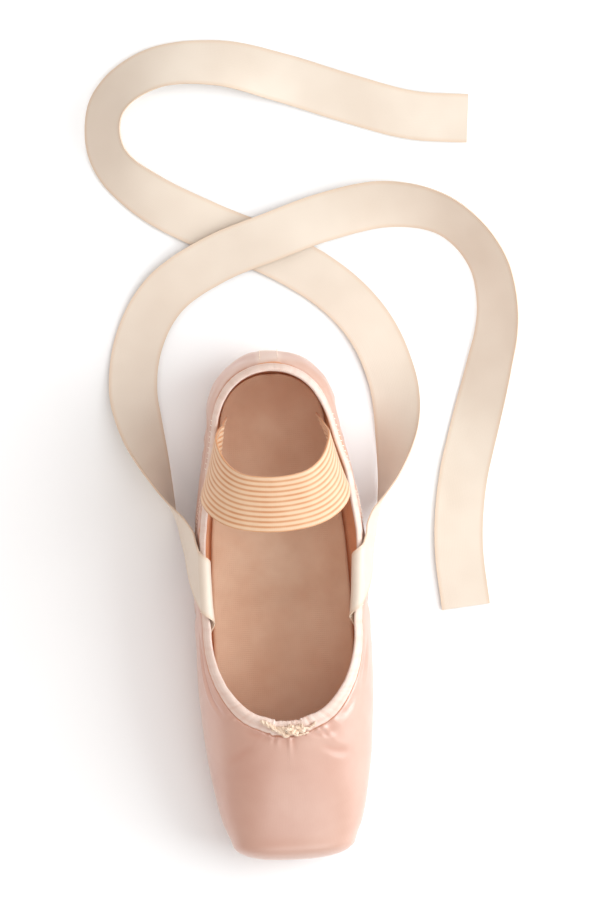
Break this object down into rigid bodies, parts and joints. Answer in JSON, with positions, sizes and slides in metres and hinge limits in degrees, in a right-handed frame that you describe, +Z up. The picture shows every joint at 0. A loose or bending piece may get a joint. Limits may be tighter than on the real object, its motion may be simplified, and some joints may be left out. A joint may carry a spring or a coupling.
{
  "type": "pointe shoe",
  "caption": "Ballet pointe shoe in pink satin with stiff toe box, suede sole, drawstring casing, ankle elastic and loose ribbons.",
  "frame": {"origin": "on the ground under the middle of the shoe without its ribbons", "axes": "+Y towards the heel, platform towards -Y, +X across the shoe, +Z up from the sole"},
  "size_m": [0.1926, 0.3737, 0.0924],
  "materials": {
    "satin": "pink satin with a soft sheen",
    "casing": "cream cotton tape, matte",
    "suede": "tan suede, scored at the forefoot",
    "canvas": "plain cotton",
    "cord": "cotton cord, matte",
    "elastic": "ribbed elastic, matte",
    "ribbon": "woven ribbon, soft satin face"
  },
  "bodies": {
    "root": {"upper": "satin", "casing": "casing", "outsole": "suede", "insole": "canvas", "drawstring_knot": "cord", "elastic": "elastic", "ribbon_right": "ribbon", "ribbon_left": "ribbon"}
  },
  "joints": []
}
